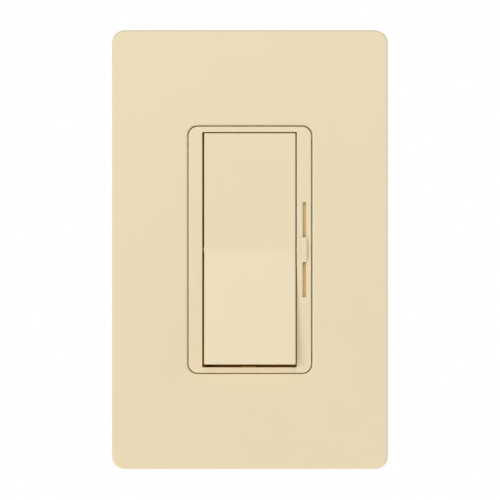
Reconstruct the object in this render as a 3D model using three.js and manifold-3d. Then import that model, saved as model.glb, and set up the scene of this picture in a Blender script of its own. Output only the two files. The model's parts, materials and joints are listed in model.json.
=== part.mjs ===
// A one-gang wall dimmer: screwless wall plate, sub-plate, mounting strap with its device behind it,
// a rocker paddle for on and off, and a slide knob for the level.
// Millimetres. +X is right, +Y goes into the wall, +Z is up. The wall is the plane y = 0, and the origin is
// the middle of the device on it. The paddle is at rest with its top pressed in, and the knob is mid-way.
import * as THREE from "three";
import { mergeVertices } from "three/addons/utils/BufferGeometryUtils.js";
import Module from "manifold-3d";

const wasm = await Module();
wasm.setup();

// ---------------------------------------------------------------- driving dimensions

const GAP = 0.3; // clearance between pieces that would touch

const PLATE = { width: 74.8, height: 119.1, corner: 3.4, front: -7.6, wall: 1.8 };
const PLATE_OPENING = { width: 33.7, height: 67.25, corner: 2.6 };
const SNAP = { x: 18, width: 8, thickness: 1.2, barb: 1.1, depth: 0.9 };
const PRY_NOTCH = { width: 6, depth: 1.2 };

const ADAPTER = { width: 66, height: 108, corner: 2.5, front: -3.8, back: -1.8, rim: 1.2, rimHeight: 1.4 };
const YOKE = { width: 60, shoulder: 39, earWidth: 26, earTop: 53, front: -1.5, back: -0.2, earStep: 46.2 };
const SCORE = { inset: 6.5, width: 0.6, depth: 0.5 }; // grooves where the strap's side tabs snap off
const WINDOW = { plunger: 9, leverWidth: 3.2, leverHeight: 29.5 }; // openings behind the device face

const BOX_SCREW_Z = 83.3 / 2; // standard spacing of the two screws that reach the wall box
const PLATE_SCREW_Z = 96.8 / 2; // standard spacing of the two screws that hold the sub-plate

const FACE = { width: 33.3, height: 66.85, corner: 2.5, front: -8.0, back: -1.8, floor: -3.2 };
const WELL = { x: -0.1, width: 25.6, height: 63.8 };
const SLOT = { x: 14.78, width: 0.95, height: 25.7 };
const CHANNEL = { width: 2.6, halfHeight: 31.95, front: -7.3 };
const RELIEF = { x: -14.8, width: 2.2 }; // pocket behind the left border that keeps its wall even
const STAKE = { x: 9, z: 28, radius: 1.0, headRadius: 1.6 };

const PADDLE = { width: 24.8, height: 62.8, crease: -8.1, skirt: -4.0, wall: 1.3, skin: 1.8 };
const PADDLE_TILT = THREE.MathUtils.degToRad(2.4); // each half's slope, and the tilt either side of level
const PIVOT = { y: -4.6, pin: 0.9, pinLength: 0.95, hole: 1.2, holeDepth: 0.8, lug: 1.1 };
const POST = { radius: 2.2, bore: 1.5, boreFrom: -0.5, tip: 5.5 };
const PLUNGER = { radius: 1.2, back: 3.2, tip: 8.3 };
const SPRING = { coil: 1.05, wire: 0.3, turns: 5 };

const KNOB = { x: 14.67, width: 1.5, height: 6.7, front: -8.7, back: -8.25, shoulder: -8.32, bevel: 1.0 };
const KNOB_SHANK = { width: 0.55, height: 4.2, end: -3.9 };
const SHUTTER = { width: 2.1, height: 44.5, front: -7.0, back: -5.8 };
const CARRIAGE = { height: 9, back: -1.0 };
const LEVER = { width: 0.8, height: 4.6, front: -2.6, end: 7.3 };

const POT = { width: 9, height: 46, front: 4.5, back: 12, wall: 1.1 };
const TRACK = { width: 6, height: 41, thickness: 0.5 };
const BRIDGE = { y: 9.0, width: 5, height: 20, thickness: 0.8, pin: 0.7, contactZ: -8.3 };
const BRIDGE_TILT = THREE.MathUtils.degToRad(3.6);
const SADDLE = { inner: 6.4, thickness: 0.8, height: 4, front: 7.6, base: 12.4 };
const SWITCH = { width: 14, height: 27, front: 5.8, back: 14.3, wall: 1.2, floor: 0.8 };
const CONTACT = { radius: 1.5, shank: 0.6 };

const HOUSING = { width: 44.5, height: 66, corner: 3, innerCorner: 1.8, front: 0.1, back: 30, wall: 1.8 };
const BOSS = { x: 18.2, z: 28.9, width: 6.0, hole: 1.5, counterbore: 2.5, counterboreDepth: 2.2 };
const LEAD_EXITS = [4, 10]; // x of the line and load lead exits
const LEAD_EXIT = { z: -27, radius: 1.9, collar: 3.0, collarBack: 31.5 };

const BOARD = { width: 40, height: 61.4, front: 14.6, back: 16.2 };
const BEHIND_BOARD = BOARD.back + 2 * GAP;
const TRIAC = { x: -10.5, width: 10.2, bottom: 8, top: 24, packageTop: 17, screwZ: 21 };
const TRIAC_LEG = { pitch: 2.54, width: 0.8, front: 3.2, back: 3.7, bottom: 4.6, top: 5.1 };
const CHOKE = { x: -8.3, z: -13, inner: 4.6, outer: 8.8, front: 18.2, back: 26.2, wire: 0.6 };
const GROUND = { x: -16, z: -36.3, lug: 2.4, hole: 1.3, back: 0.8 };
const STRIP_END = -SWITCH.height / 2 - 1.7; // lower end of the fixed contact's strip

const CORNER_STEPS = 3; // curve divisions of an outline's corner
const ROUND_SIDES = 14;

// ---------------------------------------------------------------- solids

function toSolid(geometry) {
  const bare = geometry.clone();
  bare.deleteAttribute("normal");
  bare.deleteAttribute("uv");
  const merged = mergeVertices(bare, 1e-4);
  return new wasm.Manifold(
    new wasm.Mesh({
      numProp: 3,
      vertProperties: merged.attributes.position.array,
      triVerts: new Uint32Array(merged.index.array),
    }),
  );
}

function toGeometry(solid) {
  const mesh = solid.getMesh();
  const geometry = new THREE.BufferGeometry();
  geometry.setAttribute("position", new THREE.BufferAttribute(mesh.vertProperties, 3));
  geometry.setIndex(new THREE.BufferAttribute(mesh.triVerts, 1));
  return geometry;
}

// Joins the added geometries to the base, then cuts the removed ones out of the result.
function carve(base, { add = [], remove = [] }) {
  let solid = toSolid(base);
  for (const piece of add) solid = solid.add(toSolid(piece));
  for (const piece of remove) solid = solid.subtract(toSolid(piece));
  return toGeometry(solid);
}

function rectangle(width, height, x = 0, z = 0) {
  const shape = new THREE.Shape();
  shape.moveTo(x - width / 2, z - height / 2);
  shape.lineTo(x + width / 2, z - height / 2);
  shape.lineTo(x + width / 2, z + height / 2);
  shape.lineTo(x - width / 2, z + height / 2);
  return shape;
}

function roundedRectangle(width, height, radius, x = 0, z = 0) {
  const right = x + width / 2 - radius;
  const left = x - width / 2 + radius;
  const top = z + height / 2 - radius;
  const bottom = z - height / 2 + radius;
  const shape = new THREE.Shape();
  shape.absarc(right, bottom, radius, -Math.PI / 2, 0);
  shape.absarc(right, top, radius, 0, Math.PI / 2);
  shape.absarc(left, top, radius, Math.PI / 2, Math.PI);
  shape.absarc(left, bottom, radius, Math.PI, 1.5 * Math.PI);
  return shape;
}

// A plate with its outline facing the room, from its front to its back along +Y.
function plate(outline, front, back) {
  const geometry = new THREE.ExtrudeGeometry(outline, {
    depth: back - front,
    bevelEnabled: false,
    curveSegments: CORNER_STEPS,
  });
  geometry.rotateX(Math.PI / 2);
  geometry.translate(0, back, 0);
  return geometry;
}

// A bar along X with its outline given as (y, z) points.
function bar(points, width, x = 0) {
  const outline = new THREE.Shape(points.map(([y, z]) => new THREE.Vector2(y, z)));
  const geometry = new THREE.ExtrudeGeometry(outline, { depth: width, bevelEnabled: false });
  geometry.applyMatrix4(new THREE.Matrix4().set(0, 0, 1, x - width / 2, 1, 0, 0, 0, 0, 1, 0, 0, 0, 0, 0, 1));
  return geometry;
}

function box(x, y, z) {
  const geometry = new THREE.BoxGeometry(x[1] - x[0], y[1] - y[0], z[1] - z[0]);
  geometry.translate((x[0] + x[1]) / 2, (y[0] + y[1]) / 2, (z[0] + z[1]) / 2);
  return geometry;
}

function centred(middle, size) {
  return [middle - size / 2, middle + size / 2];
}

// A round rod along Y.
function rod(radius, front, back, x = 0, z = 0, sides = ROUND_SIDES) {
  const geometry = new THREE.CylinderGeometry(radius, radius, back - front, sides);
  geometry.translate(x, (front + back) / 2, z);
  return geometry;
}

// A round rod along X.
function crossRod(radius, from, to, y, z, sides = ROUND_SIDES) {
  const geometry = new THREE.CylinderGeometry(radius, radius, to - from, sides);
  geometry.rotateZ(Math.PI / 2);
  geometry.translate((from + to) / 2, y, z);
  return geometry;
}

// A solid turned about Y from (radius, y) points, listed from its lowest y to its highest.
function turned(points, x = 0, z = 0, sides = ROUND_SIDES) {
  const profile = points.map(([radius, y]) => new THREE.Vector2(radius, y));
  const geometry = new THREE.LatheGeometry(profile, sides);
  geometry.translate(x, 0, z);
  return geometry;
}

// A ring about Y with a rectangular section.
function ring(inner, outer, front, back, x = 0, z = 0, sides = 32) {
  return turned(
    [
      [inner, front],
      [outer, front],
      [outer, back],
      [inner, back],
      [inner, front],
    ],
    x,
    z,
    sides,
  );
}

function mirrored(value) {
  return [-value, value];
}

function corners(x, z) {
  return [
    [-x, z],
    [x, z],
    [-x, -z],
    [x, -z],
  ];
}

// ---------------------------------------------------------------- wall plate

function wallplateCover() {
  const inside = PLATE.front + PLATE.wall;
  const shell = plate(roundedRectangle(PLATE.width, PLATE.height, PLATE.corner), PLATE.front, 0);
  const hollow = plate(
    roundedRectangle(PLATE.width - 2 * PLATE.wall, PLATE.height - 2 * PLATE.wall, PLATE.corner - PLATE.wall),
    inside,
    1,
  );
  const opening = plate(
    roundedRectangle(PLATE_OPENING.width, PLATE_OPENING.height, PLATE_OPENING.corner),
    PLATE.front - 1,
    1,
  );
  const bottom = -PLATE.height / 2;
  const pryNotch = box(
    centred(0, PRY_NOTCH.width),
    [-PRY_NOTCH.depth, 1],
    [bottom - 1, bottom + PLATE.wall + 1],
  );
  const hollowed = carve(shell, { remove: [hollow, opening, pryNotch] });
  return carve(hollowed, { add: snapHooks(inside) });
}

// Four hooks that catch behind the top and bottom edges of the sub-plate.
function snapHooks(inside) {
  const hooks = [];
  const legStart = ADAPTER.height / 2 + GAP;
  for (const x of mirrored(SNAP.x)) {
    for (const side of [-1, 1]) {
      const leg = [legStart, legStart + SNAP.thickness].map((z) => side * z).sort((a, b) => a - b);
      const barb = [legStart - SNAP.barb, legStart + 0.1].map((z) => side * z).sort((a, b) => a - b);
      const barbFront = ADAPTER.back + GAP;
      hooks.push(box(centred(x, SNAP.width), [inside - 0.2, barbFront + SNAP.depth], leg));
      hooks.push(box(centred(x, SNAP.width), [barbFront, barbFront + SNAP.depth], barb));
    }
  }
  return hooks;
}

function wallplateAdapter() {
  const sheet = plate(
    roundedRectangle(ADAPTER.width, ADAPTER.height, ADAPTER.corner),
    ADAPTER.front,
    ADAPTER.back,
  );
  const rimFront = ADAPTER.front - ADAPTER.rimHeight;
  const rim = roundedRectangle(ADAPTER.width, ADAPTER.height, ADAPTER.corner);
  rim.holes.push(
    roundedRectangle(ADAPTER.width - 2 * ADAPTER.rim, ADAPTER.height - 2 * ADAPTER.rim, ADAPTER.corner - 1),
  );
  const openingWidth = FACE.width + 2 * GAP;
  const openingHeight = FACE.height + 2 * GAP;
  const opening = roundedRectangle(openingWidth, openingHeight, FACE.corner + GAP);
  const collar = roundedRectangle(
    openingWidth + 2 * ADAPTER.rim,
    openingHeight + 2 * ADAPTER.rim,
    FACE.corner + ADAPTER.rim,
  );
  const removed = [plate(opening, rimFront - 1, 1)];
  for (const z of mirrored(BOX_SCREW_Z)) {
    removed.push(plate(roundedRectangle(8, 6.6, 3.29, 0, z), ADAPTER.front - 1, 1));
  }
  for (const z of mirrored(PLATE_SCREW_Z)) {
    removed.push(
      turned(
        [
          [0, ADAPTER.front - 0.4],
          [3.6, ADAPTER.front - 0.4],
          [2.0, ADAPTER.front + 1.2],
          [2.0, 1],
          [0, 1],
        ],
        0,
        z,
      ),
    );
  }
  return carve(sheet, {
    add: [plate(rim, rimFront, ADAPTER.front + 0.5), plate(collar, rimFront, ADAPTER.front + 0.5)],
    remove: removed,
  });
}

// A countersunk screw, flush with the front of the sub-plate.
function adapterScrew(z) {
  const shank = 1.7;
  const screw = turned(
    [
      [0, ADAPTER.front],
      [2.9, ADAPTER.front],
      [shank, ADAPTER.front + 1.3],
      [shank, 7.4],
      [1.1, 8.2],
      [0, 8.2],
    ],
    0,
    z,
  );
  const slot = box(centred(0, 7), [ADAPTER.front - 1, ADAPTER.front + 0.8], centred(z, 0.8));
  return carve(screw, { remove: [slot] });
}

// ---------------------------------------------------------------- mounting strap

function yokePlate() {
  const half = YOKE.width / 2;
  const ear = YOKE.earWidth / 2;
  const quarter = [
    [half, YOKE.shoulder - 6],
    [half - 6, YOKE.shoulder],
    [ear + 3, YOKE.shoulder],
    [ear, YOKE.shoulder + 4],
    [ear, YOKE.earTop - 2],
    [ear - 2, YOKE.earTop],
  ];
  const backwards = [...quarter].reverse();
  const points = [
    ...quarter,
    ...backwards.map(([x, z]) => [-x, z]),
    ...quarter.map(([x, z]) => [-x, -z]),
    ...backwards.map(([x, z]) => [x, -z]),
  ];
  const outline = new THREE.Shape(points.map(([x, z]) => new THREE.Vector2(x, z)));
  const holes = [
    plate(rectangle(WINDOW.plunger, WINDOW.plunger, WELL.x), -3, 1),
    plate(rectangle(WINDOW.leverWidth, WINDOW.leverHeight, SLOT.x), -3, 1),
    rod(1.8, -3, 1, TRIAC.x, TRIAC.screwZ),
    rod(GROUND.hole, -3, 1, GROUND.x, GROUND.z, 12),
    box(centred(0, 2 * half + 2), [YOKE.back, 1], [-YOKE.earStep, YOKE.earStep]),
  ];
  for (const z of mirrored(BOX_SCREW_Z)) holes.push(plate(roundedRectangle(7, 4.2, 2.09, 0, z), -3, 1));
  for (const z of mirrored(PLATE_SCREW_Z)) holes.push(rod(2.05, -3, 1, 0, z));
  for (const [x, z] of corners(STAKE.x, STAKE.z)) holes.push(rod(STAKE.radius + 0.35, -3, 1, x, z, 12));
  for (const [x, z] of corners(BOSS.x, BOSS.z)) holes.push(rod(BOSS.hole, -3, 1, x, z, 12));
  for (const x of mirrored(half - SCORE.inset)) {
    const groove = [YOKE.front - 1, YOKE.front + SCORE.depth];
    holes.push(box(centred(x, SCORE.width), groove, [-YOKE.earTop, YOKE.earTop]));
  }
  return carve(plate(outline, YOKE.front, 0), { remove: holes });
}

// The screw that reaches the wall box, with a slotted domed head.
function mountingScrew(z) {
  const headBack = YOKE.front - GAP;
  const shank = 1.7;
  const screw = turned(
    [
      [0, headBack - 2.0],
      [1.3, headBack - 1.9],
      [2.4, headBack - 1.4],
      [3.0, headBack - 0.6],
      [3.0, headBack],
      [shank, headBack],
      [shank, 21.5],
      [0.9, 22.8],
      [0, 22.8],
    ],
    0,
    z,
  );
  const slot = box(centred(0, 8), [headBack - 3, headBack - 1.1], centred(z, 0.9));
  return carve(screw, { remove: [slot] });
}

function screwRetainer(z) {
  const outline = roundedRectangle(8, 8, 0.8, 0, z);
  return carve(plate(outline, YOKE.back + GAP, YOKE.back + GAP + 0.4), { remove: [rod(2.0, -3, 3, 0, z)] });
}

// ---------------------------------------------------------------- device face

function bezel() {
  const block = plate(roundedRectangle(FACE.width, FACE.height, FACE.corner), FACE.front, FACE.back);
  const wellRight = WELL.x + WELL.width / 2;
  const wellLeft = WELL.x - WELL.width / 2;
  const behind = FACE.back + 1;
  const removed = [
    plate(rectangle(WELL.width, WELL.height, WELL.x), FACE.front - 3, FACE.floor),
    plate(rectangle(WINDOW.plunger, WINDOW.plunger, WELL.x), FACE.floor - 0.5, behind),
    plate(rectangle(SLOT.width, SLOT.height, SLOT.x), FACE.front - 1, CHANNEL.front + 0.5),
    plate(rectangle(CHANNEL.width, 2 * CHANNEL.halfHeight, SLOT.x), CHANNEL.front, behind),
    plate(rectangle(RELIEF.width, 2 * CHANNEL.halfHeight, RELIEF.x), CHANNEL.front, behind),
    crossRod(PIVOT.hole, wellRight - 0.5, wellRight + PIVOT.holeDepth, PIVOT.y, 0),
    crossRod(PIVOT.hole, wellLeft - PIVOT.holeDepth, wellLeft + 0.5, PIVOT.y, 0),
  ];
  const stakes = [];
  for (const [x, z] of corners(STAKE.x, STAKE.z)) {
    stakes.push(rod(STAKE.radius, FACE.back - 0.5, 0.5, x, z, 12));
    stakes.push(rod(STAKE.headRadius, YOKE.back + GAP, 0.9, x, z, 12));
  }
  return carve(carve(block, { remove: removed }), { add: stakes });
}

// ---------------------------------------------------------------- rocker paddle

// The paddle, level: its two halves slope to a shallow valley across it at z = 0.
function rockerPaddle() {
  const slope = Math.tan(PADDLE_TILT);
  const halfHeight = PADDLE.height / 2;
  const innerHalf = halfHeight - PADDLE.wall;
  const inner = PADDLE.crease + PADDLE.skin;
  const body = bar(
    [
      [PADDLE.skirt, 0],
      [PADDLE.skirt - slope * halfHeight, halfHeight],
      [PADDLE.crease - slope * halfHeight, halfHeight],
      [PADDLE.crease, 0],
      [PADDLE.crease - slope * halfHeight, -halfHeight],
      [PADDLE.skirt - slope * halfHeight, -halfHeight],
    ],
    PADDLE.width,
    WELL.x,
  );
  const pocket = bar(
    [
      [-2, 0],
      [-2, innerHalf],
      [inner - slope * innerHalf, innerHalf],
      [inner, 0],
      [inner - slope * innerHalf, -innerHalf],
      [-2, -innerHalf],
    ],
    PADDLE.width - 2 * PADDLE.wall,
    WELL.x,
  );
  const shell = carve(body, { remove: [pocket] });
  const edge = PADDLE.width / 2;
  const left = WELL.x - edge;
  const right = WELL.x + edge;
  const web = box(centred(WELL.x, PADDLE.width - 1), [inner - 0.4, PADDLE.skirt - 0.2], centred(0, 1.2));
  const spine = box(centred(WELL.x, 1.2), [inner - 0.4, PADDLE.skirt - 1.4], centred(0, PADDLE.height - 2));
  return carve(shell, {
    add: [
      web,
      spine,
      rod(POST.radius, inner - 0.4, POST.tip, WELL.x, 0),
      crossRod(PIVOT.lug, left, left + PADDLE.wall, PIVOT.y, 0),
      crossRod(PIVOT.lug, right - PADDLE.wall, right, PIVOT.y, 0),
      crossRod(PIVOT.pin, left - PIVOT.pinLength, left + 0.5, PIVOT.y, 0),
      crossRod(PIVOT.pin, right - 0.5, right + PIVOT.pinLength, PIVOT.y, 0),
    ],
    remove: [rod(POST.bore, POST.boreFrom, POST.tip + 1, WELL.x, 0)],
  });
}

// The round-nosed pin that the spring presses onto the see-saw bridge.
function contactPlunger() {
  const nose = PLUNGER.radius;
  const points = [
    [0, PLUNGER.back],
    [PLUNGER.radius, PLUNGER.back],
  ];
  const steps = 4;
  for (let i = 0; i < steps; i++) {
    const angle = (i / steps) * (Math.PI / 2);
    points.push([nose * Math.cos(angle), PLUNGER.tip - nose + nose * Math.sin(angle)]);
  }
  points.push([0, PLUNGER.tip]);
  return turned(points, WELL.x, 0);
}

function plungerSpring() {
  const from = POST.boreFrom + GAP + SPRING.wire / 2;
  const to = PLUNGER.back - GAP - SPRING.wire / 2;
  class Helix extends THREE.Curve {
    getPoint(t, target = new THREE.Vector3()) {
      const angle = t * SPRING.turns * 2 * Math.PI;
      return target.set(
        WELL.x + SPRING.coil * Math.cos(angle),
        from + (to - from) * t,
        SPRING.coil * Math.sin(angle),
      );
    }
  }
  const section = new THREE.Shape();
  section.absarc(0, 0, SPRING.wire / 2, 0, 2 * Math.PI);
  return new THREE.ExtrudeGeometry(section, {
    extrudePath: new Helix(),
    steps: SPRING.turns * 12,
    curveSegments: 3,
    bevelEnabled: false,
  });
}

// ---------------------------------------------------------------- slider

function sliderKnob() {
  const half = KNOB.height / 2;
  const cap = bar(
    [
      [KNOB.back, -half],
      [KNOB.back, half],
      [KNOB.shoulder, half],
      [KNOB.front, half - KNOB.bevel],
      [KNOB.front, -half + KNOB.bevel],
      [KNOB.shoulder, -half],
    ],
    KNOB.width,
    KNOB.x,
  );
  const shank = box(
    centred(SLOT.x, KNOB_SHANK.width),
    [KNOB.back - 0.2, KNOB_SHANK.end],
    centred(0, KNOB_SHANK.height),
  );
  return carve(cap, { add: [shank] });
}

function sliderCarriage() {
  const across = centred(SLOT.x, SHUTTER.width);
  const strip = box(across, [SHUTTER.front, SHUTTER.back], centred(0, SHUTTER.height));
  const block = box(across, [SHUTTER.front, CARRIAGE.back], centred(0, CARRIAGE.height));
  const shankPocket = box(
    centred(SLOT.x, KNOB_SHANK.width + 2 * GAP),
    [SHUTTER.front - 1, KNOB_SHANK.end + GAP],
    centred(0, KNOB_SHANK.height + 2 * GAP),
  );
  const leverPocket = box(
    centred(SLOT.x, LEVER.width + 2 * GAP),
    [LEVER.front - GAP, CARRIAGE.back + 1],
    centred(0, LEVER.height + 2 * GAP),
  );
  return carve(strip, { add: [block], remove: [shankPocket, leverPocket] });
}

function wiperLever() {
  const outline = roundedRectangle(LEVER.width, LEVER.height, 0.35, SLOT.x);
  return plate(outline, LEVER.front, LEVER.end);
}

function wiperContact() {
  const front = LEVER.end + GAP;
  const back = front + 1.6;
  const block = box(centred(SLOT.x, 5.6), [front, back], centred(0, 7));
  const fingers = mirrored(1.6).map((x) =>
    box(centred(SLOT.x + x, 0.9), [back - 0.2, back + 0.6], centred(0, 5.2)),
  );
  return carve(block, { add: fingers });
}

function potentiometerHousing() {
  const hollow = box(
    centred(SLOT.x, POT.width - 2.4),
    [POT.front + POT.wall, POT.back - POT.wall],
    centred(0, POT.height - 4),
  );
  const slot = box(centred(SLOT.x, 1.8), [POT.front - 1, POT.front + POT.wall + 0.5], centred(0, 28.5));
  return carve(plate(roundedRectangle(POT.width, POT.height, 0.8, SLOT.x), POT.front, POT.back), {
    remove: [hollow, slot],
  });
}

function resistiveTrack() {
  const back = POT.back - POT.wall - GAP;
  return box(centred(SLOT.x, TRACK.width), [back - TRACK.thickness, back], centred(0, TRACK.height));
}

// ---------------------------------------------------------------- see-saw switch

function contactBridge() {
  const [front, back] = centred(BRIDGE.y, BRIDGE.thickness);
  const blade = plate(roundedRectangle(BRIDGE.width, BRIDGE.height, 1.5), front, back);
  const half = BRIDGE.width / 2;
  return carve(blade, {
    add: [
      crossRod(BRIDGE.pin, half - 0.5, half + 1.8, BRIDGE.y, 0, 12),
      crossRod(BRIDGE.pin, -half - 1.8, -half + 0.5, BRIDGE.y, 0, 12),
    ],
    remove: [rod(CONTACT.shank + GAP, front - 1, back + 1, 0, BRIDGE.contactZ, 12)],
  });
}

function movingContact() {
  const [front, back] = centred(BRIDGE.y, BRIDGE.thickness);
  return turned(
    [
      [0, front],
      [CONTACT.shank, front],
      [CONTACT.shank, back + GAP],
      [CONTACT.radius, back + GAP],
      [CONTACT.radius, back + GAP + 0.5],
      [CONTACT.radius - 0.4, back + GAP + 0.8],
      [0, back + GAP + 0.8],
    ],
    0,
    BRIDGE.contactZ,
  );
}

function bridgeSaddle() {
  const outer = SADDLE.inner / 2 + SADDLE.thickness;
  const base = SADDLE.base;
  const depth = centred(0, SADDLE.height);
  const body = box([-outer, outer], [SADDLE.front, base + SADDLE.thickness], depth);
  const inside = box([-SADDLE.inner / 2, SADDLE.inner / 2], [SADDLE.front - 1, base], [-10, 10]);
  const terminal = box([-1.5, 1.5], [base + 0.2, BOARD.back + 0.8], centred(0, SADDLE.thickness));
  return carve(carve(body, { remove: [inside, crossRod(1.0, -outer - 1, outer + 1, BRIDGE.y, 0, 12)] }), {
    add: [terminal],
  });
}

function fixedContactStrip() {
  const [front, back] = [SADDLE.base, SADDLE.base + SADDLE.thickness];
  const strip = box([-2, 2], [front, back], [STRIP_END, -5]);
  const terminal = box([-1.5, 1.5], [front, BOARD.back + 0.8], [STRIP_END, STRIP_END + SADDLE.thickness]);
  return carve(strip, {
    add: [terminal],
    remove: [rod(CONTACT.shank + GAP, front - 1, back + 1, 0, BRIDGE.contactZ, 12)],
  });
}

function fixedContactRivet() {
  const back = SADDLE.base + SADDLE.thickness;
  const seat = SADDLE.base - GAP;
  return turned(
    [
      [0, seat - 0.9],
      [CONTACT.radius - 0.4, seat - 0.9],
      [CONTACT.radius, seat - 0.6],
      [CONTACT.radius, seat],
      [CONTACT.shank, seat],
      [CONTACT.shank, back],
      [0, back],
    ],
    0,
    BRIDGE.contactZ,
  );
}

function switchFrame() {
  const outer = plate(rectangle(SWITCH.width, SWITCH.height), SWITCH.front, SWITCH.back);
  const hollow = plate(
    rectangle(SWITCH.width - 2 * SWITCH.wall, SWITCH.height - 2 * SWITCH.wall),
    SWITCH.front - 1,
    SWITCH.back - SWITCH.floor,
  );
  const stripExit = box(
    [-2 - GAP, 2 + GAP],
    [SADDLE.base - GAP, SADDLE.base + SADDLE.thickness + GAP],
    [-SWITCH.height / 2 - 1, -SWITCH.height / 2 + SWITCH.wall + 1],
  );
  const terminalExit = box([-1.5 - GAP, 1.5 + GAP], [10, 16], centred(0, SADDLE.thickness + 2 * GAP));
  return carve(outer, { remove: [hollow, stripExit, terminalExit] });
}

// ---------------------------------------------------------------- back housing and electronics

function backHousing() {
  const shell = plate(
    roundedRectangle(HOUSING.width, HOUSING.height, HOUSING.corner),
    HOUSING.front,
    HOUSING.back,
  );
  const innerWidth = HOUSING.width - 2 * HOUSING.wall;
  const innerHeight = HOUSING.height - 2 * HOUSING.wall;
  const hollow = plate(
    roundedRectangle(innerWidth, innerHeight, HOUSING.innerCorner),
    HOUSING.front - 1,
    HOUSING.back - HOUSING.wall,
  );
  const bosses = corners(BOSS.x, BOSS.z).map(([x, z]) =>
    plate(rectangle(BOSS.width, BOSS.width, x, z), HOUSING.front, HOUSING.back - 1),
  );
  const collars = LEAD_EXITS.map((x) =>
    rod(LEAD_EXIT.collar, HOUSING.back - 1, LEAD_EXIT.collarBack, x, LEAD_EXIT.z),
  );
  const holes = [];
  for (const [x, z] of corners(BOSS.x, BOSS.z)) {
    holes.push(rod(BOSS.hole, HOUSING.front - 1, HOUSING.back + 1, x, z, 12));
    holes.push(rod(BOSS.counterbore, HOUSING.back - BOSS.counterboreDepth, HOUSING.back + 1, x, z));
  }
  for (const x of LEAD_EXITS) {
    holes.push(rod(LEAD_EXIT.radius, HOUSING.back - 4, LEAD_EXIT.collarBack + 1, x, LEAD_EXIT.z));
  }
  const hollowed = carve(shell, { remove: [hollow] });
  return carve(hollowed, { add: [...bosses, ...collars], remove: holes });
}

function housingScrew([x, z]) {
  const seat = HOUSING.back - BOSS.counterboreDepth + GAP;
  const screw = turned(
    [
      [0, -1.3],
      [0.8, -1.3],
      [1.2, -0.8],
      [1.2, seat],
      [2.2, seat],
      [2.2, seat + 1.2],
      [1.5, seat + 1.6],
      [0, seat + 1.6],
    ],
    x,
    z,
    12,
  );
  const slot = box(centred(x, 6), [seat + 0.9, seat + 3], centred(z, 0.7));
  return carve(screw, { remove: [slot] });
}

function circuitBoard() {
  const notch = BOSS.width + 1;
  const holes = corners(BOSS.x, BOSS.z).map(([x, z]) => plate(rectangle(notch, notch, x, z), 10, 20));
  const legZ = (TRIAC_LEG.bottom + TRIAC_LEG.top) / 2;
  for (const z of [0, STRIP_END + SADDLE.thickness / 2]) {
    holes.push(box([-2, 2], [10, 20], centred(z, SADDLE.thickness + 2 * GAP)));
  }
  for (const x of LEAD_EXITS) holes.push(rod(1.5, 10, 20, x, LEAD_EXIT.z, 12));
  for (const x of triacLegs()) holes.push(rod(0.9, 10, 20, x, legZ, 12));
  return carve(plate(rectangle(BOARD.width, BOARD.height), BOARD.front, BOARD.back), { remove: holes });
}

function leadEyelet(x) {
  return turned(
    [
      [0.8, BOARD.front - 0.7],
      [1.9, BOARD.front - 0.7],
      [1.9, BOARD.front - GAP],
      [1.2, BOARD.front - GAP],
      [1.2, BOARD.back + GAP],
      [1.9, BOARD.back + GAP],
      [1.9, BOARD.back + 0.7],
      [0.8, BOARD.back + 0.7],
      [0.8, BOARD.front - 0.7],
    ],
    x,
    LEAD_EXIT.z,
  );
}

function triacLegs() {
  return [-1, 0, 1].map((i) => TRIAC.x + i * TRIAC_LEG.pitch);
}

// The outline of the transistor's tab, wider and taller by the margin.
function triacOutline(margin) {
  const height = TRIAC.top - TRIAC.bottom;
  return rectangle(TRIAC.width + margin, height + margin, TRIAC.x, TRIAC.bottom + height / 2);
}

function triacInsulatorPad() {
  return carve(plate(triacOutline(1.8), 0.1, 0.4), { remove: [rod(2.1, -1, 2, TRIAC.x, TRIAC.screwZ)] });
}

function triacTab() {
  return carve(plate(triacOutline(0), 0.7, 1.9), { remove: [rod(1.8, -1, 3, TRIAC.x, TRIAC.screwZ)] });
}

function triacPackage() {
  const body = box(centred(TRIAC.x, TRIAC.width), [2.2, 5.3], [TRIAC.bottom, TRIAC.packageTop]);
  const legs = [];
  for (const x of triacLegs()) {
    const across = centred(x, TRIAC_LEG.width);
    legs.push(box(across, [TRIAC_LEG.front, TRIAC_LEG.back], [TRIAC_LEG.bottom, TRIAC.bottom + 0.5]));
    legs.push(box(across, [TRIAC_LEG.front, BOARD.back + GAP], [TRIAC_LEG.bottom, TRIAC_LEG.top]));
  }
  return carve(body, { add: legs });
}

function triacScrew() {
  const screw = turned(
    [
      [0, -1.2],
      [1.4, -1.2],
      [1.4, 2.2],
      [2.5, 2.2],
      [2.5, 3.2],
      [1.8, 3.8],
      [0, 3.8],
    ],
    TRIAC.x,
    TRIAC.screwZ,
  );
  const slot = box(centred(TRIAC.x, 6), [3.1, 5], centred(TRIAC.screwZ, 0.8));
  return carve(screw, { remove: [slot] });
}

function chokeCore() {
  return ring(CHOKE.inner, CHOKE.outer, CHOKE.front, CHOKE.back, CHOKE.x, CHOKE.z);
}

// The layer of wire wrapped round the core, open on one side where its two ends meet.
function chokeWinding() {
  const near = GAP;
  const far = GAP + CHOKE.wire;
  const wrap = (reach) =>
    ring(CHOKE.inner - reach, CHOKE.outer + reach, CHOKE.front - reach, CHOKE.back + reach, CHOKE.x, CHOKE.z);
  const opening = box(centred(CHOKE.x, 4), [10, 30], [CHOKE.z, CHOKE.z + 12]);
  return carve(wrap(far), { remove: [wrap(near), opening] });
}

function filmCapacitor(width, height, back, x, z) {
  return plate(roundedRectangle(width, height, 1.2, x, z), BEHIND_BOARD, back);
}

function discCapacitor() {
  const disc = turned(
    [
      [0, -1.6],
      [3.2, -1.4],
      [4.3, -0.7],
      [4.6, 0],
      [4.3, 0.7],
      [3.2, 1.4],
      [0, 1.6],
    ],
    0,
    0,
    24,
  );
  disc.rotateX(Math.PI / 2);
  disc.translate(8, BEHIND_BOARD + 4.8, -8);
  return disc;
}

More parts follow.
